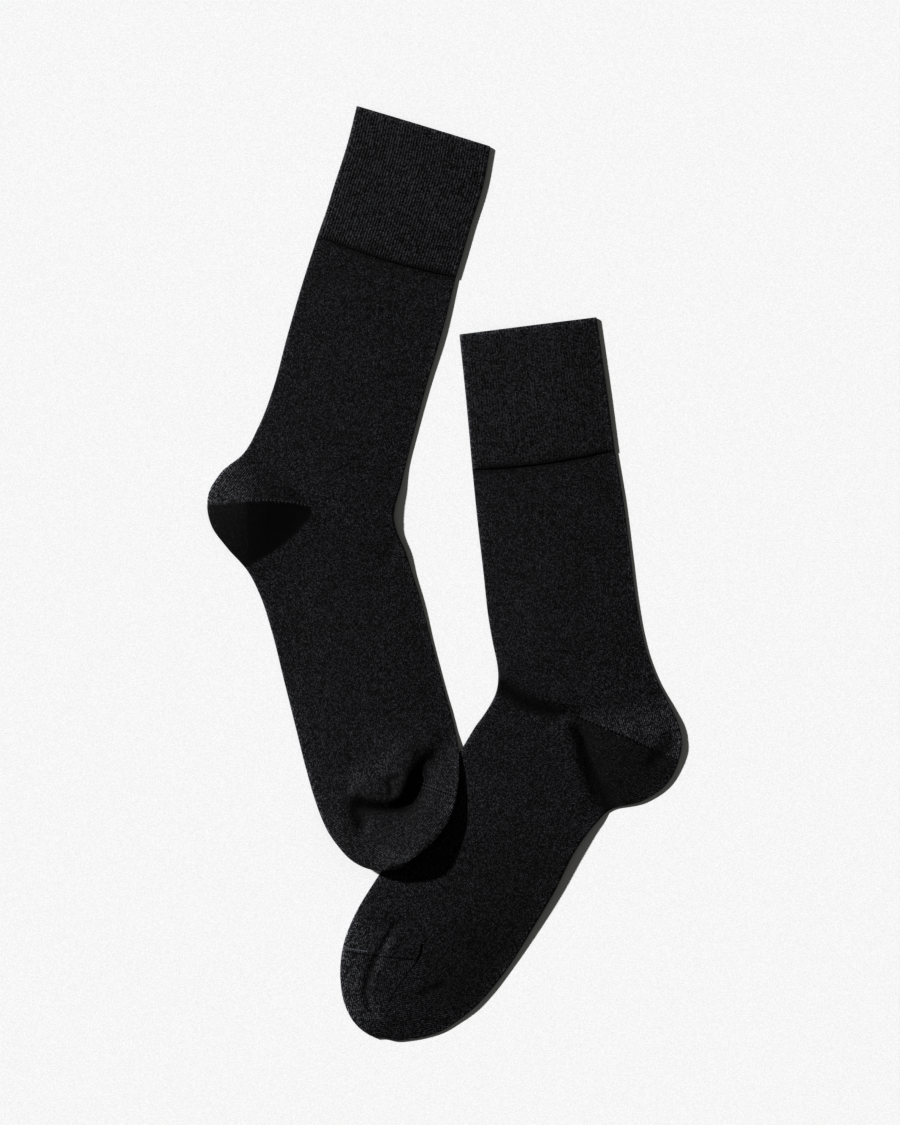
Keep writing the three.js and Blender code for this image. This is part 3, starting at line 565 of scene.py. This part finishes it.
def cut_along(mesh, line):
    """Cuts the faces under a plan line, so that the line becomes edges."""
    for a, b in zip(line, line[1:]):
        start, end = Vector((*a, 0)) * MM, Vector((*b, 0)) * MM
        heading = (end - start).normalized()
        length = (end - start).length
        sideways = Vector((heading.y, -heading.x, 0))
        reach = 3 * MM
        faces = []
        for face in mesh.faces:
            offset = face.calc_center_median() - start
            if abs(offset.dot(sideways)) < reach and -reach < offset.dot(heading) < length + reach:
                faces.append(face)
        edges = {e for f in faces for e in f.edges}
        verts = {v for f in faces for v in f.verts}
        bmesh.ops.bisect_plane(
            mesh, geom=[*verts, *edges, *faces], dist=1e-6, plane_co=start, plane_no=sideways)


def to_object(mesh, name, material):
    data = bpy.data.meshes.new(name)
    mesh.to_mesh(data)
    mesh.free()
    data.materials.append(material)
    for polygon in data.polygons:
        polygon.use_smooth = True
    piece = bpy.data.objects.new(name, data)
    bpy.context.scene.collection.objects.link(piece)
    return piece


def part_of(mesh, keep):
    """A copy of a mesh that holds only the faces that the test keeps."""
    copy = mesh.copy()
    gone = [f for f in copy.faces if not keep(f)]
    bmesh.ops.delete(copy, geom=gone, context="FACES")
    return copy


def unwrap_round(mesh, around_length):
    """UVs in metres that follow the knitting: round the tube and along it."""
    uv_layer = mesh.loops.layers.uv.new("knit")
    around_layer = mesh.verts.layers.float["around"]
    along_layer = mesh.verts.layers.float["along"]
    for face in mesh.faces:
        arounds = [loop.vert[around_layer] for loop in face.loops]
        wraps = max(arounds) - min(arounds) > around_length * MM / 2
        for loop in face.loops:
            u = loop.vert[around_layer]
            if wraps and u < around_length * MM / 2:
                u += around_length * MM
            loop[uv_layer].uv = (u + 0.01, loop.vert[along_layer] + 0.01)


def unwrap_pouch(mesh, gore, left_wale, right_wale):
    """UVs in metres for a pouch of short rows. The wales of each half run square to its own edge."""
    uv_layer = mesh.loops.layers.uv.new("knit")
    corner = Vector(gore[0])
    for face in mesh.faces:
        centre = face.calc_center_median()
        side = nearest_on_path(gore, centre.x / MM, centre.y / MM)[2]
        wale = Vector(left_wale if side > 0 else right_wale).normalized()
        course = Vector((-wale.y, wale.x))
        shift = Vector((0.12 + 0.13 * (side > 0), 0.15 + 0.25 * (face.normal.z < 0)))
        for loop in face.loops:
            plan = Vector((loop.vert.co.x, loop.vert.co.y)) - corner * MM
            loop[uv_layer].uv = (plan.dot(course) + shift.x, plan.dot(wale) + shift.y)


# Writes painted shade and light into the 'tone' attribute: painted sheen round the tube's edges times the cloth's
# painted shade and light.
def paint_shade_and_light(mesh, sock, with_heel):
    shade_and_light_layer = mesh.verts.layers.float.new("tone")
    edge_layer = mesh.verts.layers.float["edge distance"]
    for vert in mesh.verts:
        painted_edge_sheen = 1 + PAINTED_EDGE_SHEEN * math.exp(-vert[edge_layer] / PAINTED_EDGE_SHEEN_REACH)
        vert[shade_and_light_layer] = painted_edge_sheen * cloth_painted_shade_and_light(sock, vert.co.x / MM, vert.co.y / MM, with_heel)


def sharpen_borders(mesh):
    """The open borders stay crisp, so the cloth's thickness doesn't bend the light beside them."""
    for edge in mesh.edges:
        if edge.is_boundary:
            edge.smooth = False


# Shader groups


def new_group(name, inputs, outputs):
    group = bpy.data.node_groups.new(name, "ShaderNodeTree")
    for label, kind, value in inputs:
        socket = group.interface.new_socket(name=label, in_out="INPUT", socket_type=kind)
        if value is not None:
            socket.default_value = value
    for label, kind in outputs:
        group.interface.new_socket(name=label, in_out="OUTPUT", socket_type=kind)
    source = group.nodes.new("NodeGroupInput")
    sink = group.nodes.new("NodeGroupOutput")
    return group, source.outputs, sink.inputs


def math_node(tree, operation, a, b=None, c=None):
    node = tree.nodes.new("ShaderNodeMath")
    node.operation = operation
    for socket, value in zip(node.inputs, (a, b, c)):
        if value is None:
            continue
        if isinstance(value, (int, float)):
            socket.default_value = value
        else:
            tree.links.new(value, socket)
    return node.outputs[0]


def make_stitch_group():
    """Plain knit: columns of V-shaped stitches. Height is 0 in the holes and 1 on top of the yarn.
    Chance is a number of its own for each leg of a stitch, and Line is 1 along the middle of each wale."""
    group, given, out = new_group(
        "knit stitches",
        [("UV", "NodeSocketVector", None), ("Wale", "NodeSocketFloat", PLAIN_WALE),
         ("Course", "NodeSocketFloat", PLAIN_COURSE), ("Slant", "NodeSocketFloat", 0.9)],
        [("Height", "NodeSocketFloat"), ("Chance", "NodeSocketFloat"), ("Line", "NodeSocketFloat")],
    )
    split = group.nodes.new("ShaderNodeSeparateXYZ")
    group.links.new(given["UV"], split.inputs[0])
    wale = math_node(group, "DIVIDE", split.outputs["X"], given["Wale"])
    course = math_node(group, "DIVIDE", split.outputs["Y"], given["Course"])
    in_wale = math_node(group, "ABSOLUTE", math_node(group, "SUBTRACT", math_node(group, "FRACT", wale), 0.5))
    slanted = math_node(group, "MULTIPLY_ADD", in_wale, given["Slant"], course)
    loop_wave = math_node(group, "SINE", math_node(group, "MULTIPLY", slanted, math.pi))
    loop_height = math_node(group, "POWER", math_node(group, "ABSOLUTE", loop_wave), 0.7)
    leg_offset = math_node(group, "SUBTRACT", in_wale, 0.25)
    leg_wave = math_node(group, "COSINE", math_node(group, "MULTIPLY", leg_offset, 2 * math.pi))
    leg_height = math_node(group, "MULTIPLY_ADD", leg_wave, 0.5, 0.5)
    group.links.new(math_node(group, "MULTIPLY", loop_height, leg_height), out["Height"])
    line_wave = math_node(group, "COSINE", math_node(group, "MULTIPLY", wale, 2 * math.pi))
    group.links.new(math_node(group, "MULTIPLY_ADD", line_wave, 0.5, 0.5), out["Line"])
    cell = group.nodes.new("ShaderNodeCombineXYZ")
    group.links.new(math_node(group, "FLOOR", math_node(group, "MULTIPLY", wale, 2.0)), cell.inputs["X"])
    group.links.new(math_node(group, "FLOOR", slanted), cell.inputs["Y"])
    chance = group.nodes.new("ShaderNodeTexWhiteNoise")
    chance.noise_dimensions = "3D"
    group.links.new(cell.outputs["Vector"], chance.inputs["Vector"])
    group.links.new(chance.outputs["Value"], out["Chance"])
    return group


def make_fibre_group():
    """Fine hairs of the yarn as a mask, and slow changes of tone over the cloth."""
    group, given, out = new_group(
        "yarn fibre",
        [("Vector", "NodeSocketVector", None), ("Grain", "NodeSocketFloat", 2600.0)],
        [("Fibre", "NodeSocketFloat"), ("Cloud", "NodeSocketFloat")],
    )
    for label, detail in (("Fibre", 2.0), ("Cloud", 3.0)):
        pattern = group.nodes.new("ShaderNodeTexNoise")
        pattern.inputs["Scale"].default_value = 30.0
        pattern.inputs["Detail"].default_value = detail
        group.links.new(given["Vector"], pattern.inputs["Vector"])
        if label == "Fibre":
            group.links.new(given["Grain"], pattern.inputs["Scale"])
        group.links.new(pattern.outputs["Fac"], out[label])
    return group


def mix_colours(tree, blend, factor, a, b):
    node = tree.nodes.new("ShaderNodeMix")
    node.data_type = "RGBA"
    node.blend_type = blend
    for socket, value in zip((node.inputs["Factor"], node.inputs["A"], node.inputs["B"]), (factor, a, b)):
        if isinstance(value, bpy.types.NodeSocket):
            tree.links.new(value, socket)
        else:
            socket.default_value = value
    return node.outputs["Result"]


def spread_range(tree, value, from_low, from_high, to_low, to_high):
    node = tree.nodes.new("ShaderNodeMapRange")
    for label, number in zip(("From Min", "From Max", "To Min", "To Max"), (from_low, from_high, to_low, to_high)):
        node.inputs[label].default_value = number
    tree.links.new(value, node.inputs["Value"])
    return node.outputs["Result"]


KnitLook = namedtuple("KnitLook", "dark light wale course slant relief hole groove unlike roughness")


def make_knit_material(name, groups, look):
    """Near-black knit. dark and light are the ends of the tone from stitch to stitch. hole is how much of it is left
    between the stitches, and groove how much between the wales: both are painted shade in the knit's hollows. The
    'tone' attribute multiplies in each piece's painted shade and light."""
    material = bpy.data.materials.new(name)
    material.use_nodes = True
    tree = material.node_tree
    shader = tree.nodes["Principled BSDF"]
    coordinates = tree.nodes.new("ShaderNodeTexCoord")
    stitches = tree.nodes.new("ShaderNodeGroup")
    stitches.node_tree = groups["stitches"]
    stitches.inputs["Wale"].default_value = look.wale
    stitches.inputs["Course"].default_value = look.course
    stitches.inputs["Slant"].default_value = look.slant
    tree.links.new(coordinates.outputs["UV"], stitches.inputs["UV"])
    fibre = tree.nodes.new("ShaderNodeGroup")
    fibre.node_tree = groups["fibre"]
    tree.links.new(coordinates.outputs["Object"], fibre.inputs["Vector"])

    uneven = math_node(tree, "POWER", stitches.outputs["Chance"], look.unlike)
    stitch_tone = mix_colours(tree, "MIX", uneven, (*look.dark, 1), (*look.light, 1))
    hairs = spread_range(tree, fibre.outputs["Fibre"], 0.35, 0.65, 0.28, 1.72)
    cloud = spread_range(tree, fibre.outputs["Cloud"], 0.3, 0.7, 0.90, 1.10)
    # Painted shade in the holes between the stitches and in the grooves between the wales.
    hole_shade = spread_range(tree, stitches.outputs["Height"], 0.0, 0.8, look.hole, 1.0)
    groove = spread_range(tree, stitches.outputs["Line"], 0.0, 1.0, look.groove, 2.0 - look.groove)
    # The 'tone' attribute: the piece's painted shade and light.
    painted_shade_and_light_attribute = tree.nodes.new("ShaderNodeAttribute")
    painted_shade_and_light_attribute.attribute_name = "tone"
    amount = math_node(tree, "MULTIPLY", math_node(tree, "MULTIPLY", hairs, cloud), hole_shade)
    amount = math_node(tree, "MULTIPLY", amount, groove)
    amount = math_node(tree, "MULTIPLY", amount, painted_shade_and_light_attribute.outputs["Fac"])
    scaled = tree.nodes.new("ShaderNodeVectorMath")
    scaled.operation = "SCALE"
    tree.links.new(stitch_tone, scaled.inputs[0])
    tree.links.new(amount, scaled.inputs["Scale"])
    tree.links.new(scaled.outputs["Vector"], shader.inputs["Base Color"])

    rough = spread_range(tree, fibre.outputs["Fibre"], 0.3, 0.7, look.roughness - 0.07, look.roughness + 0.07)
    tree.links.new(rough, shader.inputs["Roughness"])

    bump = tree.nodes.new("ShaderNodeBump")
    bump.inputs["Strength"].default_value = 1.0
    bump.inputs["Distance"].default_value = look.relief
    hair_height = math_node(tree, "MULTIPLY_ADD", fibre.outputs["Fibre"], 0.25, stitches.outputs["Height"])
    tree.links.new(hair_height, bump.inputs["Height"])
    tree.links.new(bump.outputs["Normal"], shader.inputs["Normal"])

    shader.inputs["Specular IOR Level"].default_value = 0.10
    shader.inputs["Sheen Weight"].default_value = 0.02
    shader.inputs["Sheen Roughness"].default_value = 0.4
    return material


def make_yarn_material(groups):
    """Sewing and linking yarn. Each row of stitches has a tone of its own, as painted highlight or painted shade."""
    material = bpy.data.materials.new("linking yarn")
    material.use_nodes = True
    tree = material.node_tree
    shader = tree.nodes["Principled BSDF"]
    coordinates = tree.nodes.new("ShaderNodeTexCoord")
    fibre = tree.nodes.new("ShaderNodeGroup")
    fibre.node_tree = groups["fibre"]
    tree.links.new(coordinates.outputs["Object"], fibre.inputs["Vector"])
    tone = spread_range(tree, fibre.outputs["Fibre"], 0.3, 0.7, 0.0, 1.0)
    colour = mix_colours(tree, "MIX", tone, (0.010, 0.0102, 0.0115, 1), (0.020, 0.0205, 0.023, 1))
    painted_shade_and_light_attribute = tree.nodes.new("ShaderNodeAttribute")
    painted_shade_and_light_attribute.attribute_name = "tone"
    scaled = tree.nodes.new("ShaderNodeVectorMath")
    scaled.operation = "SCALE"
    tree.links.new(colour, scaled.inputs[0])
    tree.links.new(painted_shade_and_light_attribute.outputs["Fac"], scaled.inputs["Scale"])
    tree.links.new(scaled.outputs["Vector"], shader.inputs["Base Color"])
    rough = spread_range(tree, fibre.outputs["Cloud"], 0.3, 0.7, 0.48, 0.62)
    tree.links.new(rough, shader.inputs["Roughness"])
    bump = tree.nodes.new("ShaderNodeBump")
    bump.inputs["Distance"].default_value = 0.0001
    tree.links.new(fibre.outputs["Fibre"], bump.inputs["Height"])
    tree.links.new(bump.outputs["Normal"], shader.inputs["Normal"])
    shader.inputs["Specular IOR Level"].default_value = 0.05
    return material


Sock = namedtuple(
    "Sock",
    "name seed floor cuff tube folds shades heel_top heel_sole heel_gore heel_ridge heel_tone heel_outline "
    "heel_wales linking toe_sole toe_gore toe_outline toe_wales",
)


def outline_of(one_edge, far_points, other_edge):
    """A closed plan outline: along one edge, round the outside and back along the other edge."""
    return (*one_edge, *far_points, *reversed(other_edge[1:]))


over_sock = Sock(
    "over_sock", 3.0, over_floor, OVER_CUFF, OVER_TUBE, OVER_FOLDS, OVER_PAINTED_SHADE_AND_LIGHT,
    OVER_HEEL_TOP, OVER_HEEL_SOLE, OVER_HEEL_GORE, OVER_HEEL_RIDGE, OVER_HEEL_SHADE_AND_TONE,
    outline_of(OVER_HEEL_SOLE, OVER_HEEL_FAR, OVER_HEEL_TOP), ((0.72, -0.69), (-0.60, -0.80)),
    OVER_LINKING, OVER_TOE_SOLE, OVER_TOE_GORE,
    outline_of(OVER_TOE_SOLE, OVER_TOE_FAR, OVER_LINKING), ((-0.56, -0.83), (0.85, -0.53)),
)
under_sock = Sock(
    "under_sock", 19.0, level_floor, UNDER_CUFF, UNDER_TUBE, UNDER_FOLDS, UNDER_PAINTED_SHADE_AND_LIGHT,
    UNDER_HEEL_TOP, UNDER_HEEL_SOLE, UNDER_HEEL_GORE, UNDER_HEEL_RIDGE, UNDER_HEEL_SHADE_AND_TONE,
    outline_of(UNDER_HEEL_SOLE, UNDER_HEEL_FAR, UNDER_HEEL_TOP), ((0.27, -0.96), (-0.94, 0.34)),
    UNDER_LINKING, UNDER_TOE_SOLE, UNDER_TOE_GORE,
    outline_of(UNDER_TOE_SOLE, UNDER_TOE_FAR, UNDER_LINKING), ((-0.99, -0.17), (0.2, -0.98)),
)


def finish_piece(piece, node, slot):
    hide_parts(node)
    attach(piece, "root")


def give_thickness(piece):
    wall = piece.modifiers.new("cloth thickness", "SOLIDIFY")
    wall.thickness = WALL * MM
    wall.offset = -1.0


def make_tube(sock, materials):
    """Leg, foot, heel and toe, knitted as one tube and then parted along their own lines."""
    look = {
        "panel_steps": PANEL_STEPS, "under_steps": UNDER_STEPS, "ribs": False,
        "wall": WALL, "folds": sock.folds, "pouches": True,
    }
    rows = make_rows(sock.tube, ROW_STEP)
    last_full = sock.tube[-2].rises[1]
    rings = []
    for row in rows:
        bow = CUFF_BOW * smooth_step(1 - row.along / 25.0)
        lift = max(0.0, 0.5 * (last_full - row.rises[1])) * smooth_step((row.along - rows[-1].along + 8) / 8)
        end_distance = rows[-1].along - row.along + 1.0
        rings.append(row_points(sock, row, look, end_distance, lift=lift, bow=bow))
    arounds, around_length = lengths_round(rings[0][0])
    mesh = knit_rings(rings, arounds, [row.along for row in rows], True)
    bmesh.ops.recalc_face_normals(mesh, faces=mesh.faces)
    lines = (sock.heel_top, sock.heel_sole, sock.heel_gore, sock.linking, sock.toe_sole, sock.toe_gore)
    for line in lines:
        cut_along(mesh, line)

    def in_heel(face):
        centre = face.calc_center_median()
        return inside(sock.heel_outline, centre.x / MM, centre.y / MM)

    def in_toe(face):
        centre = face.calc_center_median()
        return inside(sock.toe_outline, centre.x / MM, centre.y / MM)

    surface = BVHTree.FromBMesh(mesh)
    leg_foot = part_of(mesh, lambda f: not in_heel(f) and not in_toe(f))
    unwrap_round(leg_foot, around_length)
    heel = part_of(mesh, in_heel)
    unwrap_pouch(heel, sock.heel_gore, *sock.heel_wales)
    toe = part_of(mesh, in_toe)
    unwrap_pouch(toe, sock.toe_gore, *sock.toe_wales)
    mesh.free()
    made = {}
    for label, part, material, slot in (
        ("leg_foot", leg_foot, "plain", "plain_knit"),
        ("heel", heel, "pouch", "heel_toe_knit"),
        ("toe", toe, "pouch", "heel_toe_knit"),
    ):
        paint_shade_and_light(part, sock, label == "heel")
        sharpen_borders(part)
        piece = to_object(part, f"{sock.name}_{label}_cloth", materials[material])
        give_thickness(piece)
        finish_piece(piece, f"{sock.name}_{label}", slot)
        made[label] = piece
    return made, surface


def make_cuff(sock, materials):
    """The turned cuff: up inside, over the rounded top edge, and down outside to its lap over the leg."""
    look = {
        "panel_steps": RIBS_ACROSS * RIB_STEPS, "under_steps": CUFF_UNDER_STEPS, "ribs": True,
        "wall": CUFF_WALL, "folds": (), "pouches": False,
    }
    rows = make_rows(sock.cuff, CUFF_ROW_STEP)
    length = rows[-1].along
    stations = []
    for row in reversed(rows[1:]):
        stations.append((row, 0.0, CUFF_WALL))
    for degrees in (0, 30, 60, 90, 120, 150, 180):
        turn = math.radians(degrees)
        reach = RIM_ROUND * (1 - math.sin(turn))
        inset = CUFF_WALL / 2 + CUFF_WALL / 2 * math.cos(turn)
        stations.append((rows[0], reach, inset))
    for row in rows[1:-1]:
        stations.append((row, 0.0, 0.0))
    for reach, inset in ((-0.5, 0.0), (0.0, 0.06), (HEM_LAP, 0.3), (HEM_LAP, CUFF_WALL - 0.2)):
        stations.append((rows[-1], reach, inset))
    rings = []
    alongs = []
    travelled = 0.0
    for row, reach, inset in stations:
        moved = row.slid(reach) if reach else row
        if alongs:
            travelled += max(abs(moved.along - before), 0.2)
        before = moved.along
        alongs.append(travelled)
        bow = CUFF_BOW * min(1.0, row.along / length)
        rings.append(row_points(sock, moved, look, moved.along, inset=inset, bow=bow))
    arounds, around_length = lengths_round(rings[len(rings) // 2 + 4][0])
    first_rib = arounds[EDGE_STEPS]
    scale = RIBS_ACROSS * CUFF_WALE / MM / (arounds[EDGE_STEPS + look["panel_steps"]] - first_rib)
    arounds = [(around - first_rib) * scale + 12.5 * CUFF_WALE / MM for around in arounds]
    mesh = knit_rings(rings, arounds, alongs, False)
    bmesh.ops.bridge_loops(mesh, edges=[e for e in mesh.edges if e.is_boundary])
    bmesh.ops.recalc_face_normals(mesh, faces=mesh.faces)
    unwrap_round(mesh, around_length * scale)
    paint_shade_and_light(mesh, sock, False)
    piece = to_object(mesh, f"{sock.name}_cuff_cloth", materials["cuff"])
    finish_piece(piece, f"{sock.name}_cuff", "cuff_rib")
    return piece


# Sewing

def points_along(path, pitch):
    """Places at an even pitch along a path, each with the direction of the path there."""
    left_over = pitch / 2
    for a, b in zip(path, path[1:]):
        start, end = Vector(a), Vector(b)
        heading = (end - start).normalized()
        length = (end - start).length
        while left_over < length:
            yield start + heading * left_over, heading
            left_over += pitch
        left_over -= length


def make_stitches(sock, name, rows, surface, material):
    """Rows of single stitches that lie on the cloth. Each one is a small rounded bead: yarn loops made lighter as
    painted highlight, and near-black beads that stand as painted shade for holes, grooves and a crease.
    """
    mesh = bmesh.new()
    shade_and_light_layer = mesh.verts.layers.float.new("tone")
    for row in rows:
        for place, heading in points_along(row.path, row.pitch):
            sideways = Vector((-heading.y, heading.x))
            spot = (place + sideways * row.offset) * MM
            found, normal, _, _ = surface.ray_cast(Vector((spot.x, spot.y, 0.05)), Vector((0, 0, -1)))
            if found is None:
                continue
            run = Matrix.Rotation(math.radians(row.slant), 3, normal) @ Vector((*heading, 0))
            run = (run - normal * run.dot(normal)).normalized()
            frame_axes = Matrix((run, normal.cross(run), normal)).transposed().to_4x4()
            size = Matrix.Diagonal((row.length / 2 * MM, row.width / 2 * MM, row.height * MM, 1))
            bead = Matrix.Translation(found) @ frame_axes @ size
            made = bmesh.ops.create_uvsphere(mesh, u_segments=8, v_segments=6, radius=1.0, matrix=bead)
            for vert in made["verts"]:
                vert[shade_and_light_layer] = row.tone
    bmesh.ops.recalc_face_normals(mesh, faces=mesh.faces)
    piece = to_object(mesh, f"{sock.name}_{name}", material)
    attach(piece, "root")


def declare_cloth(sock, parts):
    """Works out the flat width all round of the cuff and of the tube; nothing is done with them."""
    cuff_width = 2 * (Vector(sock.cuff[0].front) - Vector(sock.cuff[0].back)).length * MM
    tube_width = 2 * (Vector(sock.tube[0].front) - Vector(sock.tube[0].back)).length * MM


# Surroundings


def make_floor():
    mesh = bmesh.new()
    bmesh.ops.create_grid(mesh, x_segments=1, y_segments=1, size=6.0)
    bmesh.ops.translate(mesh, verts=mesh.verts, vec=(0, 0, -0.0002))
    material = bpy.data.materials.new("pale floor")
    material.use_nodes = True
    tree = material.node_tree
    shader = tree.nodes["Principled BSDF"]
    coordinates = tree.nodes.new("ShaderNodeTexCoord")
    grain = tree.nodes.new("ShaderNodeTexNoise")
    grain.inputs["Scale"].default_value = 1400.0
    grain.inputs["Detail"].default_value = 1.0
    tree.links.new(coordinates.outputs["Object"], grain.inputs["Vector"])
    speck = spread_range(tree, grain.outputs["Fac"], 0.3, 0.7, 0.0, 1.0)
    colour = mix_colours(tree, "MIX", speck, (0.738, 0.738, 0.744, 1), (0.822, 0.822, 0.829, 1))
    tree.links.new(colour, shader.inputs["Base Color"])
    shader.inputs["Roughness"].default_value = 0.9
    shader.inputs["Specular IOR Level"].default_value = 0.1
    floor = to_object(mesh, "floor", material)


def make_lights():
    sun_data = bpy.data.lights.new("key light", "SUN")
    sun_data.energy = 7.1
    sun_data.angle = math.radians(3.0)
    sun = bpy.data.objects.new("key light", sun_data)
    elevation = math.radians(28)
    travel = Vector((0.87 * math.cos(elevation), -0.49 * math.cos(elevation), -math.sin(elevation)))
    sun.rotation_mode = "QUATERNION"
    sun.rotation_quaternion = travel.to_track_quat("-Z", "Y")
    bpy.context.scene.collection.objects.link(sun)
    world = bpy.data.worlds.new("studio")
    world.use_nodes = True
    world.node_tree.nodes["Background"].inputs["Color"].default_value = (1.0, 0.99, 0.93, 1)
    world.node_tree.nodes["Background"].inputs["Strength"].default_value = 0.145
    bpy.context.scene.world = world


def make_camera():
    """Straight down, with the photograph's frame of 522 by 652.5 mm on the floor."""
    frame_height = 0.6525
    data = bpy.data.cameras.new("camera")
    data.sensor_width = 36.0
    data.lens = 100.0
    camera = bpy.data.objects.new("camera", data)
    camera.location = (0.00206, 0.00587, frame_height * data.lens / data.sensor_width)
    bpy.context.scene.collection.objects.link(camera)
    bpy.context.scene.camera = camera


def main():
    groups = {"stitches": make_stitch_group(), "fibre": make_fibre_group()}
    materials = {
        "cuff": make_knit_material("ribbed cuff knit", groups, KnitLook(
            (0.0014, 0.0014, 0.0016), (0.0440, 0.0444, 0.0496),
            CUFF_WALE, CUFF_COURSE, 0.35, 0.00010, 0.5, 0.6, 1.5, 0.6)),
        "plain": make_knit_material("plain knit", groups, KnitLook(
            (0.0014, 0.0014, 0.0016), (0.0585, 0.0591, 0.0667),
            PLAIN_WALE, PLAIN_COURSE, 0.9, 0.00012, 0.4, 0.6, 2.7, 0.6)),
        "pouch": make_knit_material("heel and toe knit", groups, KnitLook(
            (0.0014, 0.0014, 0.0016), (0.054, 0.0545, 0.0615),
            POUCH_WALE, POUCH_COURSE, 0.6, 0.00014, 0.3, 0.3, 2.1, 0.56)),
    }
    yarn = make_yarn_material(groups)
    sewing = ((OVER_HEEL_SEWING, OVER_TOE_SEWING), (UNDER_HEEL_SEWING, UNDER_TOE_SEWING))
    for sock, (heel_sewing, toe_sewing) in zip((over_sock, under_sock), sewing):
        cuff = make_cuff(sock, materials)
        parts, surface = make_tube(sock, materials)
        make_stitches(sock, "heel_gore_stitches", heel_sewing, surface, yarn)
        make_stitches(sock, "toe_linking", toe_sewing, surface, yarn)
        declare_cloth(sock, parts)
    make_floor()
    make_lights()
    make_camera()
    bpy.context.scene.view_settings.view_transform = "Standard"
    bpy.context.scene.view_settings.gamma = 0.75


main()
